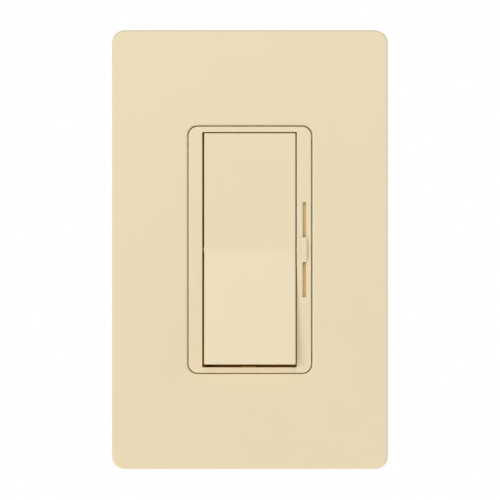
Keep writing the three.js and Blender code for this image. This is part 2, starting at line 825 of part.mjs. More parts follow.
// An axial part lying along Z behind the board: its body's (radius, z) points, and its two bent leads.
function axialPart(points, x, z, standOff) {
  const body = turned(points, 0, 0, 12);
  body.rotateX(Math.PI / 2);
  const reach = points[points.length - 1][1];
  const leadEnd = reach + 1.6;
  const lead = 0.35;
  const pieces = [];
  for (const side of [-1, 1]) {
    const along = [side * (reach - 0.3), side * leadEnd].sort((a, b) => a - b);
    const drop = [side * (leadEnd - 2 * lead), side * leadEnd].sort((a, b) => a - b);
    pieces.push(box([-lead, lead], [-lead, lead], along));
    pieces.push(box([-lead, lead], [-standOff, lead], drop));
  }
  const part = carve(body, { add: pieces });
  part.translate(x, BEHIND_BOARD - GAP + standOff, z);
  return part;
}

function resistor(x, z) {
  const points = [
    [0, -3.2],
    [1.0, -3.0],
    [1.2, -2.6],
    [1.2, -2.0],
    [1.0, -1.6],
    [1.0, 1.6],
    [1.2, 2.0],
    [1.2, 2.6],
    [1.0, 3.0],
    [0, 3.2],
  ];
  return axialPart(points, x, z, 2.0);
}

function diac(x, z) {
  const points = [
    [0, -2.0],
    [0.9, -1.8],
    [0.9, 1.8],
    [0, 2.0],
  ];
  return axialPart(points, x, z, 1.6);
}

function groundLug() {
  const eye = rod(GROUND.lug, YOKE.back + GAP, GROUND.back, GROUND.x, GROUND.z);
  const tongue = box(centred(GROUND.x, 2.2), [YOKE.back + GAP, GROUND.back], [GROUND.z - 5, GROUND.z - 1.8]);
  const barrel = new THREE.CylinderGeometry(1.5, 1.5, 3.2, 12);
  barrel.rotateX(Math.PI / 2);
  barrel.translate(GROUND.x, YOKE.back + GAP + 1.5, GROUND.z - 5.2);
  const bore = new THREE.CylinderGeometry(0.9, 0.9, 3, 12);
  bore.rotateX(Math.PI / 2);
  bore.translate(GROUND.x, YOKE.back + GAP + 1.5, GROUND.z - 6);
  const eyeHole = rod(GROUND.hole, -1, 3, GROUND.x, GROUND.z, 12);
  return carve(eye, { add: [tongue, barrel], remove: [bore, eyeHole] });
}

function groundRivet() {
  return turned(
    [
      [0, -1.2],
      [1.0, -1.2],
      [1.0, 1.1],
      [2.0, 1.1],
      [1.9, 1.5],
      [1.1, 1.9],
      [0, 1.9],
    ],
    GROUND.x,
    GROUND.z,
    12,
  );
}

// ---------------------------------------------------------------- materials

const FINISHES = {
  ivory: { color: 0xe8d9b8, roughness: 0.32, metalness: 0 },
  ivorySatin: { color: 0xe6d4ae, roughness: 0.45, metalness: 0 },
  blackPlastic: { color: 0x22211f, roughness: 0.5, metalness: 0 },
  greyPlastic: { color: 0x6f7276, roughness: 0.5, metalness: 0 },
  aluminium: { color: 0xb8babd, roughness: 0.4, metalness: 1 },
  zinc: { color: 0xc9cbc8, roughness: 0.35, metalness: 1 },
  paintedIvory: { color: 0xe8d9b8, roughness: 0.4, metalness: 0.2 },
  brass: { color: 0xc7a04f, roughness: 0.35, metalness: 1 },
  silver: { color: 0xd9d9d6, roughness: 0.25, metalness: 1 },
  copper: { color: 0xa8552b, roughness: 0.35, metalness: 1 },
  steel: { color: 0x9a9c9f, roughness: 0.35, metalness: 1 },
  ferrite: { color: 0x3b3f3a, roughness: 0.8, metalness: 0 },
  fibre: { color: 0xb79a6a, roughness: 0.8, metalness: 0 },
  board: { color: 0x2f6b45, roughness: 0.5, metalness: 0 },
  carbon: { color: 0x1c1c1e, roughness: 0.6, metalness: 0 },
  yellowEpoxy: { color: 0xc9a227, roughness: 0.45, metalness: 0 },
  blueEpoxy: { color: 0x2c5fa0, roughness: 0.45, metalness: 0 },
  tanCeramic: { color: 0xb98a4e, roughness: 0.5, metalness: 0 },
  redGlass: { color: 0x9c3a26, roughness: 0.2, metalness: 0 },
  greenPlastic: { color: 0x2f6f3a, roughness: 0.5, metalness: 0 },
};

function piece(name, geometry, finish) {
  const mesh = new THREE.Mesh(geometry, new THREE.MeshStandardMaterial(FINISHES[finish]));
  mesh.name = name;
  return mesh;
}

// ---------------------------------------------------------------- assembly

// A group whose pieces are drawn level and then turned about an X axis through (y, z = 0).
function tilted(angle, y, pieces) {
  const group = new THREE.Group();
  group.position.y = y;
  group.rotation.x = angle;
  for (const mesh of pieces) {
    mesh.position.y = -y;
    group.add(mesh);
  }
  return group;
}

const dimmer = new THREE.Group();

dimmer.add(
  piece("wallplate_cover", wallplateCover(), "ivory"),
  piece("wallplate_adapter", wallplateAdapter(), "ivorySatin"),
  piece("yoke_plate", yokePlate(), "aluminium"),
  piece("bezel", bezel(), "ivory"),
  piece("back_housing", backHousing(), "blackPlastic"),
);

for (const [end, side] of [
  ["top", 1],
  ["bottom", -1],
]) {
  dimmer.add(
    piece("adapter_screw_" + end, adapterScrew(side * PLATE_SCREW_Z), "paintedIvory"),
    piece("mounting_screw_" + end, mountingScrew(side * BOX_SCREW_Z), "zinc"),
    piece("screw_retainer_" + end, screwRetainer(side * BOX_SCREW_Z), "fibre"),
  );
}

corners(BOSS.x, BOSS.z).forEach((place, index) => {
  dimmer.add(piece("housing_screw_" + (index + 1), housingScrew(place), "zinc"));
});

dimmer.add(
  piece("circuit_board", circuitBoard(), "board"),
  piece("lead_eyelet_line", leadEyelet(LEAD_EXITS[0]), "brass"),
  piece("lead_eyelet_load", leadEyelet(LEAD_EXITS[1]), "brass"),
  piece("triac_insulator_pad", triacInsulatorPad(), "greyPlastic"),
  piece("triac_tab", triacTab(), "steel"),
  piece("triac_package", triacPackage(), "blackPlastic"),
  piece("triac_screw", triacScrew(), "zinc"),
  piece("choke_core", chokeCore(), "ferrite"),
  piece("choke_winding", chokeWinding(), "copper"),
  piece("film_capacitor_main", filmCapacitor(18, 8, 26.6, -8.5, 7), "yellowEpoxy"),
  piece("film_capacitor_timing", filmCapacitor(10, 5, 24.8, 9, 17), "yellowEpoxy"),
  piece("disc_capacitor", discCapacitor(), "blueEpoxy"),
  piece("diac", diac(5, 3), "redGlass"),
  piece("resistor_1", resistor(9, 5), "tanCeramic"),
  piece("resistor_2", resistor(13, 5), "tanCeramic"),
  piece("ground_lug", groundLug(), "brass"),
  piece("ground_rivet", groundRivet(), "steel"),
);

dimmer.add(
  piece("potentiometer_housing", potentiometerHousing(), "greyPlastic"),
  piece("resistive_track", resistiveTrack(), "carbon"),
  piece("switch_frame", switchFrame(), "blackPlastic"),
  piece("bridge_saddle", bridgeSaddle(), "brass"),
  piece("fixed_contact_strip", fixedContactStrip(), "brass"),
  piece("fixed_contact_rivet", fixedContactRivet(), "silver"),
);

dimmer.add(
  piece("slider_knob", sliderKnob(), "ivory"),
  piece("slider_carriage", sliderCarriage(), "ivorySatin"),
  piece("wiper_lever", wiperLever(), "blackPlastic"),
  piece("wiper_contact", wiperContact(), "brass"),
);

dimmer.add(
  tilted(-PADDLE_TILT, PIVOT.y, [
    piece("rocker_paddle", rockerPaddle(), "ivory"),
    piece("plunger_spring", plungerSpring(), "steel"),
    piece("contact_plunger", contactPlunger(), "greenPlastic"),
  ]),
  tilted(BRIDGE_TILT, BRIDGE.y, [
    piece("contact_bridge", contactBridge(), "brass"),
    piece("moving_contact", movingContact(), "silver"),
  ]),
);

export default dimmer;
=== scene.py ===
"""The visual model of a flush wall dimmer: a screwless ivory plate, a rocker paddle, and a slide knob.

Pieces are drawn in millimetres and end up in metres, in the CAD frame: +X right, +Y into the wall, +Z up,
with the wall at y = 0.
"""

import json
import math

import bmesh
import bpy
from mathutils import Matrix, Vector


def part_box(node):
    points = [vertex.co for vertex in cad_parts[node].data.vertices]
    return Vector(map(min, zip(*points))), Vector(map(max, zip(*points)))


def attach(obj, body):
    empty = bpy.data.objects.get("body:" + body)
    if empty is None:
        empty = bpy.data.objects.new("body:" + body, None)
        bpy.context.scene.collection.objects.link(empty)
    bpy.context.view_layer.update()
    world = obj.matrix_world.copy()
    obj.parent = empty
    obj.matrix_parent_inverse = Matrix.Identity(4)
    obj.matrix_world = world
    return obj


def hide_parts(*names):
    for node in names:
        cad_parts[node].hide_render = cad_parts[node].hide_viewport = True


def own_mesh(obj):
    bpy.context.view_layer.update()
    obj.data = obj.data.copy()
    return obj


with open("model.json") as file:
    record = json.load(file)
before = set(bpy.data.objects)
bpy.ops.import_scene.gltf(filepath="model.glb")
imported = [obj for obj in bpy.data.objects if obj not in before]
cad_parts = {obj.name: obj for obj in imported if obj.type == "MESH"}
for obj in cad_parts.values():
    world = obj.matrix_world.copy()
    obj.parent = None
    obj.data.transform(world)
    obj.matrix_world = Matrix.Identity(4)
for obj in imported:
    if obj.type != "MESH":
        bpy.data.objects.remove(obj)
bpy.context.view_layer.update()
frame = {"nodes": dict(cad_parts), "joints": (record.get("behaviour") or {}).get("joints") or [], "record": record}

MM = 0.001
NODES = frame["nodes"]
BODY_OF = {node: body for body, nodes in frame["record"]["behaviour"]["bodies"].items() for node in nodes}
SLOT_OF = {part["node"]: part["material_slot"] for part in frame["record"]["subparts"]}
JOINTS = {joint["name"]: joint for joint in frame["joints"]}

# The main sizes, in millimetres, which the frame's boxes don't give.
PLATE = {"wall": 1.8, "corner": 3.4, "edge": 0.5}
OPENING = {"width": 33.7, "height": 67.25, "corner": 2.6, "edge": 0.55}
ADAPTER = {"front": -3.8, "back": -1.8, "rim": 1.2, "corner": 2.5, "screw_z": 48.4}
YOKE = {"half": 30, "shoulder": 39, "ear": 13, "top": 53, "front": -1.5, "back": -0.2, "step": 46.2}
BOX_SCREW_Z = 41.65
FACE = {"corner": 2.5, "edge": 0.3, "back": -1.8, "floor": -3.2}
WELL = {"x": -0.1, "width": 25.6, "height": 63.8, "lip": 0.45}
SERVICE_TAB = {"x": (-2.3, 1.4), "y": (-6.9, -3), "above_edge": 1.4, "into_well": 0.22}
SLOT = {"x": 14.78, "width": 0.95, "height": 25.7}
CHANNEL = {"width": 2.6, "height": 63.9, "front": -7.3}
STAKE = {"x": 9, "z": 28, "radius": 1.0, "head": 1.6, "sides": 24}
PADDLE = {"z": 0.11, "width": 24.8, "height": 62.73, "crease": -8.1, "skirt": -4.0}
PADDLE_WALL = {"side": 1.3, "front": 1.8, "edge": 0.3}
PIVOT = {"pin": 0.9, "pin_length": 0.95, "lug": 1.1, "hole": 1.2, "hole_depth": 0.8}
POST = {"radius": 2.2, "bore": 1.5, "back": 5.5}
PLUNGER = {"radius": 1.2, "front": 3.2, "nose": 7.1, "edge": 0.3}
KNOB = {"x": 14.67, "width": 1.5, "height": 6.7, "bevel": 1.0}
KNOB_DEPTH = {"front": -8.7, "shoulder": -8.32, "back": -8.25}
HOUSING = {"width": 44.5, "height": 66, "corner": 3, "wall": 1.8, "back": 30}
BOSS = {"x": 18.2, "z": 28.9, "width": 6.0, "hole": 1.5, "counterbore": 2.5, "depth": 2.2}
LEAD_EXITS = (4, 10)
LEAD_EXIT_Z = -27
LEAD_COLLAR = {"radius": 3.2, "hole": 1.9, "edge": 0.3}
TRIAC = {"x": -10.5, "screw_z": 21}
GROUND = {"x": -16, "z": -36.3}


# ---------------------------------------------------------------- camera, light and stage

VIEW_WIDTH = 0.13566  # metres that the picture spans at the front of the plate
LENS, SENSOR = 250.0, 36.0  # millimetres
CAMERA_X, CAMERA_Z = 0.00003, -0.00008  # the camera's small offset from the middle of the plate
STUDIO = 4.0  # metres from the origin to each light
FILL, WHITE = 0.25, 1.0  # strength of the surroundings, as light and as seen


def look_at(thing, target):
    thing.rotation_euler = (Vector(target) - thing.location).to_track_quat("-Z", "Y").to_euler()


def add_to_scene(name, data):
    made = bpy.data.objects.new(name, data)
    bpy.context.scene.collection.objects.link(made)
    return made


def make_camera():
    data = bpy.data.cameras.new("camera")
    data.lens = LENS
    data.sensor_width = SENSOR
    camera = add_to_scene("camera", data)
    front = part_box("wallplate_cover")[0].y
    camera.location = (CAMERA_X, front - VIEW_WIDTH * LENS / SENSOR, CAMERA_Z)
    look_at(camera, (CAMERA_X, 0, CAMERA_Z))
    bpy.context.scene.camera = camera


def softbox(name, across, up, size, power):
    """An area light aimed at the origin, at angles in degrees across and up from the camera's side."""
    data = bpy.data.lights.new(name, "AREA")
    data.shape = "RECTANGLE"
    data.size, data.size_y = size
    data.energy = power
    light = add_to_scene(name, data)
    across, up = math.radians(across), math.radians(up)
    direction = Vector((math.sin(across) * math.cos(up), -math.cos(across) * math.cos(up), math.sin(up)))
    light.location = direction * STUDIO
    light.visible_camera = False
    look_at(light, (0, 0, 0))


def make_lights():
    softbox("key", -40, 8, (1.8, 1.6), 55)
    softbox("front", -3, 12, (0.8, 0.5), 15)
    softbox("overhead", -6, 41, (1.0, 0.7), 27)
    softbox("side", 86, 12, (1.8, 1.4), 24)
    softbox("rear", 155, 28, (1.8, 1.4), 50)


def make_world():
    """White to the camera, and an even dimmer fill for what it lights."""
    world = bpy.data.worlds.new("studio")
    bpy.context.scene.world = world
    world.use_nodes = True
    nodes = world.node_tree.nodes
    links = world.node_tree.links
    nodes.clear()
    output = nodes.new("ShaderNodeOutputWorld")
    ray = nodes.new("ShaderNodeLightPath")
    choose = nodes.new("ShaderNodeMixShader")
    links.new(ray.outputs["Is Camera Ray"], choose.inputs[0])
    for socket, strength in ((1, FILL), (2, WHITE)):
        light = nodes.new("ShaderNodeBackground")
        light.inputs["Color"].default_value = (1, 1, 1, 1)
        light.inputs["Strength"].default_value = strength
        links.new(light.outputs[0], choose.inputs[socket])
    links.new(choose.outputs[0], output.inputs[0])


def make_floor():
    """A wide pale floor, below the picture when the camera looks straight on."""
    reach, level, glow = 12.0, -1.3, 0.35
    mesh = bpy.data.meshes.new("floor")
    signs = ((-1, -1), (1, -1), (1, 1), (-1, 1))
    mesh.from_pydata([(x * reach, y * reach, level) for x, y in signs], [], [(0, 1, 2, 3)])
    floor = add_to_scene("floor", mesh)
    material, shader = new_material("floor_paper", (0.9, 0.9, 0.89), 0.9)
    paper = noise(material, 30)
    vary_colour(material, shader, paper, (0.88, 0.88, 0.87), (0.9, 0.9, 0.89))
    shader.inputs["Emission Color"].default_value = (1, 1, 1, 1)
    shader.inputs["Emission Strength"].default_value = glow
    floor.data.materials.append(material)


# ---------------------------------------------------------------- materials


def new_material(name, colour, roughness, metallic=0.0):
    material = bpy.data.materials.new(name)
    material.use_nodes = True
    shader = material.node_tree.nodes["Principled BSDF"]
    shader.inputs["Base Color"].default_value = (*colour, 1)
    shader.inputs["Roughness"].default_value = roughness
    shader.inputs["Metallic"].default_value = metallic
    return material, shader


def noise(material, scale, detail=4.0, stretch=(1, 1, 1)):
    """Noise with the given number of waves per metre, squeezed by stretch."""
    nodes = material.node_tree.nodes
    links = material.node_tree.links
    place = nodes.new("ShaderNodeTexCoord")
    mapping = nodes.new("ShaderNodeMapping")
    mapping.inputs["Scale"].default_value = stretch
    texture = nodes.new("ShaderNodeTexNoise")
    texture.inputs["Scale"].default_value = scale
    texture.inputs["Detail"].default_value = detail
    links.new(place.outputs["Object"], mapping.inputs["Vector"])
    links.new(mapping.outputs["Vector"], texture.inputs["Vector"])
    return texture


def vary_colour(material, shader, texture, low, high):
    """The base colour drifts between two colours with the texture."""
    ramp = material.node_tree.nodes.new("ShaderNodeValToRGB")
    first, last = ramp.color_ramp.elements
    first.position, first.color = 0.35, (*low, 1)
    last.position, last.color = 0.65, (*high, 1)
    links = material.node_tree.links
    links.new(texture.outputs["Fac"], ramp.inputs["Fac"])
    links.new(ramp.outputs["Color"], shader.inputs["Base Color"])


def vary_roughness(material, shader, texture, low, high):
    spread = material.node_tree.nodes.new("ShaderNodeMapRange")
    spread.inputs["From Min"].default_value = 0.3
    spread.inputs["From Max"].default_value = 0.7
    spread.inputs["To Min"].default_value = low
    spread.inputs["To Max"].default_value = high
    links = material.node_tree.links
    links.new(texture.outputs["Fac"], spread.inputs["Value"])
    links.new(spread.outputs["Result"], shader.inputs["Roughness"])


def add_bump(material, shader, texture, depth):
    """Relief of the given depth in millimetres."""
    bump = material.node_tree.nodes.new("ShaderNodeBump")
    bump.inputs["Distance"].default_value = depth * MM
    bump.inputs["Strength"].default_value = 1.0
    links = material.node_tree.links
    links.new(texture.outputs["Fac"], bump.inputs["Height"])
    links.new(bump.outputs["Normal"], shader.inputs["Normal"])


def shade(colour, factor):
    return tuple(min(1.0, channel * factor) for channel in colour)


def moulded(name, colour, roughness, grain=4000, depth=0.004, drift=0.05, sheen=0.1):
    """Moulded or cast: fine grain, and a slight drift of colour and of roughness, as shares of each."""
    material, shader = new_material(name, colour, roughness)
    cloud = noise(material, 60, 2)
    vary_colour(material, shader, cloud, shade(colour, 1 - drift), shade(colour, 1 + drift))
    flow = noise(material, 900, 3)
    vary_roughness(material, shader, flow, roughness * (1 - sheen), roughness * (1 + sheen))
    add_bump(material, shader, noise(material, grain, 3), depth)
    return material, shader


def rolled(name, colour, roughness, stretch, drift=0.06):
    """Rolled or drawn metal: fine streaks along the axis that stretch leaves long."""
    material, shader = new_material(name, colour, roughness, 1.0)
    streaks = noise(material, 2200, 5, stretch)
    vary_colour(material, shader, streaks, shade(colour, 1 - drift), shade(colour, 1 + drift))
    vary_roughness(material, shader, streaks, roughness * 0.8, roughness * 1.25)
    add_bump(material, shader, streaks, 0.002)
    return material, shader


def plated(name, colour, tint, roughness):
    """Plated metal: a faint second tint in patches, and fine pitting."""
    material, shader = new_material(name, colour, roughness, 1.0)
    vary_colour(material, shader, noise(material, 500, 2), colour, tint)
    pits = noise(material, 6000, 3)
    vary_roughness(material, shader, pits, roughness * 0.8, roughness * 1.3)
    add_bump(material, shader, pits, 0.004)
    return material, shader


# One plastic in four tones: what shows, what the cover hides, and two of painted shade, behind the slot and in the
# paddle's well.
IVORY = (0.80, 0.68, 0.455)
DEEPER_IVORY = (0.79, 0.65, 0.39)
SHUTTER_SHADE_IVORY = (0.80, 0.58, 0.25)
WELL_SHADE_IVORY = (0.62, 0.26, 0.04)

# Squeezes of the noise that leave its streaks long along one axis.
ALONG_Z = (1.0, 1.0, 0.03)
ALONG_Y = (1.0, 0.05, 1.0)


def make_materials():
    """One material for each slot of the record, and two deeper ivories of painted shade, for the shutter behind
    the slot and the paddle's well.
    """
    made = {}
    made["ivory_gloss"], gloss = moulded("ivory_gloss", IVORY, 0.3, 12000, 0.0003, 0.005, 0.02)
    gloss.inputs["Specular IOR Level"].default_value = 0.4
    made["ivory_satin"], _ = moulded("ivory_satin", DEEPER_IVORY, 0.5, 5000, 0.004, 0.012)
    # Painted shade: the shutter's tan stands for the shade inside the slot, deeper than the plastic's own colour.
    made["painted_shade_shutter"], _ = moulded("painted_shade_shutter", SHUTTER_SHADE_IVORY, 0.5, 5000, 0.004, 0.012)
    # Painted shade: the deep brown of the well's walls and floor stands for shade on the same ivory plastic.
    made["painted_shade_well"], _ = moulded("painted_shade_well", WELL_SHADE_IVORY, 0.6, 5000, 0.004, 0.012)
    made["strap_aluminium"], aluminium = rolled("strap_aluminium", (0.74, 0.75, 0.77), 0.34, ALONG_Z)
    aluminium.inputs["Anisotropic"].default_value = 0.4
    made["screw_zinc"], _ = plated("screw_zinc", (0.70, 0.71, 0.70), (0.72, 0.69, 0.60), 0.3)
    made["screw_ivory"], _ = moulded("screw_ivory", IVORY, 0.4, 4000, 0.003, 0.012)
    made["fibre"], _ = moulded("fibre", (0.43, 0.29, 0.13), 0.85, 2500, 0.03, 0.15)
    made["housing_black"], _ = moulded("housing_black", (0.021, 0.020, 0.019), 0.5, 3500, 0.012, 0.15)
    made["grey_plastic"], _ = moulded("grey_plastic", (0.16, 0.17, 0.18), 0.5, 4000, 0.006)
    made["board_green"], board = moulded("board_green", (0.025, 0.13, 0.055), 0.3, 2600, 0.006, 0.12)
    board.inputs["Coat Weight"].default_value = 0.4
    made["brass"], _ = rolled("brass", (0.60, 0.38, 0.10), 0.3, ALONG_Y)
    made["contact_silver"], _ = plated("contact_silver", (0.74, 0.73, 0.70), (0.60, 0.57, 0.52), 0.28)
    made["copper_wire"], copper = rolled("copper_wire", (0.48, 0.13, 0.035), 0.28, (1, 1, 1))
    copper.inputs["Coat Weight"].default_value = 0.7
    made["steel"], _ = rolled("steel", (0.42, 0.43, 0.44), 0.32, ALONG_Z)
    made["ferrite"], _ = moulded("ferrite", (0.035, 0.04, 0.034), 0.75, 2500, 0.02, 0.2)
    made["carbon_track"], _ = moulded("carbon_track", (0.011, 0.011, 0.012), 0.55, 6000, 0.004, 0.1)
    made["yellow_epoxy"], _ = moulded("yellow_epoxy", (0.58, 0.36, 0.025), 0.3, 900, 0.02)
    made["blue_epoxy"], _ = moulded("blue_epoxy", (0.025, 0.10, 0.33), 0.25, 900, 0.02, 0.08)
    made["resistor_tan"], _ = moulded("resistor_tan", (0.45, 0.25, 0.09), 0.35, 2500, 0.01, 0.08)
    made["diac_glass"], glass = moulded("diac_glass", (0.45, 0.06, 0.03), 0.08, 2000, 0.002)
    glass.inputs["Transmission Weight"].default_value = 0.5
    made["plunger_green"], _ = moulded("plunger_green", (0.03, 0.15, 0.045), 0.4, 5000, 0.003)
    return made


# ---------------------------------------------------------------- meshes, sized in millimetres


def outline(width, height, radius, x=0.0, z=0.0, levels=(), steps=8):
    """Points round a rounded rectangle, up its right side and down its left, with extra ones at levels."""
    right = []
    centre = width / 2 - radius
    for middle, start in ((radius - height / 2, -math.pi / 2), (height / 2 - radius, 0.0)):
        for i in range(steps + 1):
            angle = start + math.pi / 2 * i / steps
            right.append((centre + radius * math.cos(angle), middle + radius * math.sin(angle)))
        if start < 0:
            right += [(width / 2, level) for level in levels]
    left = [(-px, pz) for px, pz in reversed(right)]
    return [(x + px, z + pz) for px, pz in right + left]


def rounded(points, radius, steps=4):
    """A closed outline with each corner rounded."""
    result = []
    for i, corner in enumerate(points):
        here = Vector(corner)
        ends = []
        for other in (points[i - 1], points[(i + 1) % len(points)]):
            side = Vector(other) - here
            ends.append(here + side.normalized() * min(radius, side.length * 0.45))
        for k in range(steps + 1):
            t = k / steps
            result.append(tuple(ends[0] * (1 - t) ** 2 + here * 2 * t * (1 - t) + ends[1] * t * t))
    return result


def edge_rings(size, radius, side, front, x=0.0, z=0.0, outward=False, levels=(), steps=5):
    """Rings of a round-over, from a wall that starts at depth side to a face at depth front.

    size is (width, height, corner). An opening's round-over runs outward.
    """
    width, height, corner = size
    sign = 1 if outward else -1
    towards = 1 if side > front else -1
    rings = [(outline(width, height, corner, x, z, levels), side)]
    for i in range(steps + 1):
        angle = math.pi / 2 * i / steps
        inset = sign * radius * (1 - math.cos(angle))
        depth = front + towards * radius * (1 - math.sin(angle))
        ring = outline(width + 2 * inset, height + 2 * inset, max(corner + inset, 0.02), x, z, levels)
        rings.append((ring, depth))
    return rings


def join_rows(mesh, rows):
    """Quads between neighbouring rows of the same length."""
    for row, after in zip(rows, rows[1:]):
        for i in range(len(row)):
            j = (i + 1) % len(row)
            mesh.faces.new((row[i], row[j], after[j], after[i]))


def finish_mesh(name, mesh):
    """The object made of the mesh, turned from millimetres to metres."""
    bmesh.ops.recalc_face_normals(mesh, faces=mesh.faces)
    bmesh.ops.scale(mesh, vec=(MM, MM, MM), verts=mesh.verts)
    data = bpy.data.meshes.new(name)
    mesh.to_mesh(data)
    mesh.free()
    return add_to_scene(name, data)


def lofted(name, rings, bend=None, closed=False, strips=False):
    """A solid through (outline, y) rings. bend(z) moves points along y, and strips closes bent ends."""
    mesh = bmesh.new()
    rows = []
    for points, y in rings:
        rows.append([mesh.verts.new((px, y + (bend(pz) if bend else 0.0), pz)) for px, pz in points])
    join_rows(mesh, rows + rows[:1] if closed else rows)
    if not closed:
        for row in (rows[0], rows[-1]):
            if not strips:
                mesh.faces.new(row)
                continue
            for i in range(len(row) // 2 - 1):
                mesh.faces.new((row[i], row[i + 1], row[len(row) - 2 - i], row[len(row) - 1 - i]))
    return finish_mesh(name, mesh)


def slab(name, size, y, x=0.0, z=0.0, front_edge=0.0, back_edge=0.0, steps=3):
    """A rounded rectangle of the given (width, height, corner) between two depths, with eased edges."""
    front, back = y
    middle = (front + back) / 2
    rings = []
    if front_edge:
        rings += reversed(edge_rings(size, front_edge, middle, front, x, z, steps=steps)[1:])
    else:
        rings.append((outline(*size, x, z), front))
    if back_edge:
        rings += edge_rings(size, back_edge, middle, back, x, z, steps=steps)[1:]
    else:
        rings.append((outline(*size, x, z), back))
    return lofted(name, rings)


def polygon(name, points, y):
    return lofted(name, [(points, y[0]), (points, y[1])])


def around(middle, size):
    return (middle - size / 2, middle + size / 2)


def block(name, x, y, z):
    return polygon(name, [(x[0], z[0]), (x[1], z[0]), (x[1], z[1]), (x[0], z[1])], y)


def turned(name, profile, x=0.0, z=0.0, sides=40, thread=None):
    """A solid turned about Y from (radius, y) points. thread is (from, to, pitch, depth)."""
    mesh = bmesh.new()
    rows = []
    for radius, y in with_thread_steps(profile, thread):
        row = []
        for i in range(sides):
            angle = 2 * math.pi * i / sides
            reach = radius - (thread_depth(y, i / sides, thread) if thread else 0.0)
            row.append(mesh.verts.new((x + reach * math.cos(angle), y, z + reach * math.sin(angle))))
        rows.append(row)
    join_rows(mesh, rows)
    mesh.faces.new(rows[0])
    mesh.faces.new(rows[-1])
    return finish_mesh(name, mesh)


def with_thread_steps(profile, thread):
    """The profile with six more points for each turn of the thread."""
    if not thread:
        return profile
    start, end, pitch, _ = thread
    points = [profile[0]]
    for before, after in zip(profile, profile[1:]):
        low, high = max(before[1], start), min(after[1], end)
        count = int((high - low) / pitch * 6) if high > low else 0
        for k in range(count):
            y = low + (high - low) * (k + 0.5) / count
            share = (y - before[1]) / (after[1] - before[1])
            points.append((before[0] + (after[0] - before[0]) * share, y))
        points.append(after)
    return points


def thread_depth(y, turn, thread):
    start, end, pitch, depth = thread
    fade = max(0.0, min(1.0, (y - start) / pitch, (end - y) / pitch))
    return depth * fade * abs(2 * ((y / pitch - turn) % 1.0) - 1)


def rod(name, radius, y, x, z, sides=40):
    return turned(name, [(radius, y[0]), (radius, y[1])], x, z, sides)


def cross_rod(name, radius, x, y, z, sides=40):
    made = rod(name, radius, x, 0, 0, sides)
    made.data.transform(Matrix.Translation((0, y * MM, z * MM)) @ Matrix.Rotation(-math.pi / 2, 4, "Z"))
    return made


def wire(name, points, radius, sides=4, closed=False):
    """A round wire through points, as a mesh."""
    curve = bpy.data.curves.new(name, "CURVE")
    curve.dimensions = "3D"
    curve.bevel_depth = radius * MM
    curve.bevel_resolution = sides
    curve.use_fill_caps = True
    spline = curve.splines.new("POLY")
    spline.points.add(len(points) - 1)
    for target, point in zip(spline.points, points):
        target.co = (point[0] * MM, point[1] * MM, point[2] * MM, 1)
    spline.use_cyclic_u = closed
    shaped = add_to_scene(name, curve)
    graph = bpy.context.evaluated_depsgraph_get()
    data = bpy.data.meshes.new_from_object(shaped.evaluated_get(graph))
    bpy.data.objects.remove(shaped)
    return add_to_scene(name, data)


def apply_modifiers(target):
    graph = bpy.context.evaluated_depsgraph_get()
    result = bpy.data.meshes.new_from_object(target.evaluated_get(graph))
    target.modifiers.clear()
    target.data = result


def combine(target, operation, others):
    """Adds the others to the target or cuts them from it, and removes them."""
    for other in others:
        modifier = target.modifiers.new("combine", "BOOLEAN")
        modifier.object = other
        modifier.operation = operation
        modifier.solver = "EXACT"
    apply_modifiers(target)
    clear_slivers(target)
    for other in others:
        bpy.data.objects.remove(other)


def clear_slivers(target):
    """Removes the faces of no area that a cut can leave."""
    mesh = bmesh.new()
    mesh.from_mesh(target.data)
    bmesh.ops.remove_doubles(mesh, verts=mesh.verts, dist=0.001 * MM)
    bmesh.ops.dissolve_degenerate(mesh, edges=mesh.edges, dist=0.0005 * MM)
    mesh.to_mesh(target.data)
    mesh.free()


def ease_edges(target, width, segments=2, angle=28):
    """Rounds a mesh's sharp edges: for good on a new piece, and by modifiers alone on a CAD node."""
    weld = target.modifiers.new("weld", "WELD")
    weld.merge_threshold = 0.001 * MM
    flatten = target.modifiers.new("flatten", "DECIMATE")
    flatten.decimate_type = "DISSOLVE"
    flatten.angle_limit = math.radians(1)
    bevel = target.modifiers.new("edges", "BEVEL")
    bevel.width = width * MM
    bevel.segments = segments
    bevel.limit_method = "ANGLE"
    bevel.angle_limit = math.radians(angle)
    if target.name not in NODES:
        apply_modifiers(target)


def smooth(thing, angle=30):
    """Smooth faces with crisp edges above the angle, and flat faces kept flat."""
    thing.data.shade_smooth()
    if thing.name not in NODES:
        thing.data.set_sharp_from_angle(angle=math.radians(angle))
    weighted = thing.modifiers.new("normals", "WEIGHTED_NORMAL")
    weighted.keep_sharp = True


def give_finish(thing, node):
    thing.data.materials.clear()
    thing.data.materials.append(MATERIALS[SLOT_OF[node]])


def stand_for(thing, node):
    """The new piece takes the CAD node's place, body and finish."""
    smooth(thing)
    give_finish(thing, node)
    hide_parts(node)
    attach(thing, BODY_OF[node])


def keep_node(node, width):
    """A CAD node whose shape is right, with its edges eased."""
    ease_edges(NODES[node], width)
    smooth(NODES[node])
    give_finish(NODES[node], node)


def box_mm(node):
    """A node's lowest and highest corners in millimetres."""
    low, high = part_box(node)
    return low / MM, high / MM


def tilt_with(thing, joint_name, degrees):
    """Turns a piece drawn level about its joint's axis."""
    pivot = Vector(JOINTS[joint_name]["pos_m"])
    turn = Matrix.Translation(pivot) @ Matrix.Rotation(math.radians(degrees), 4, "X")
    thing.data.transform(turn @ Matrix.Translation(-pivot))


def half_range():
    """How far the paddle leans from level at rest, in degrees: half of what it turns through."""
    return JOINTS["rocker_tilt"]["range_deg"][1] / 2


def mirrored(value):
    return (-value, value)


def corner_places(x, z):
    return [(-x, z), (x, z), (-x, -z), (x, -z)]


# ---------------------------------------------------------------- wall plate


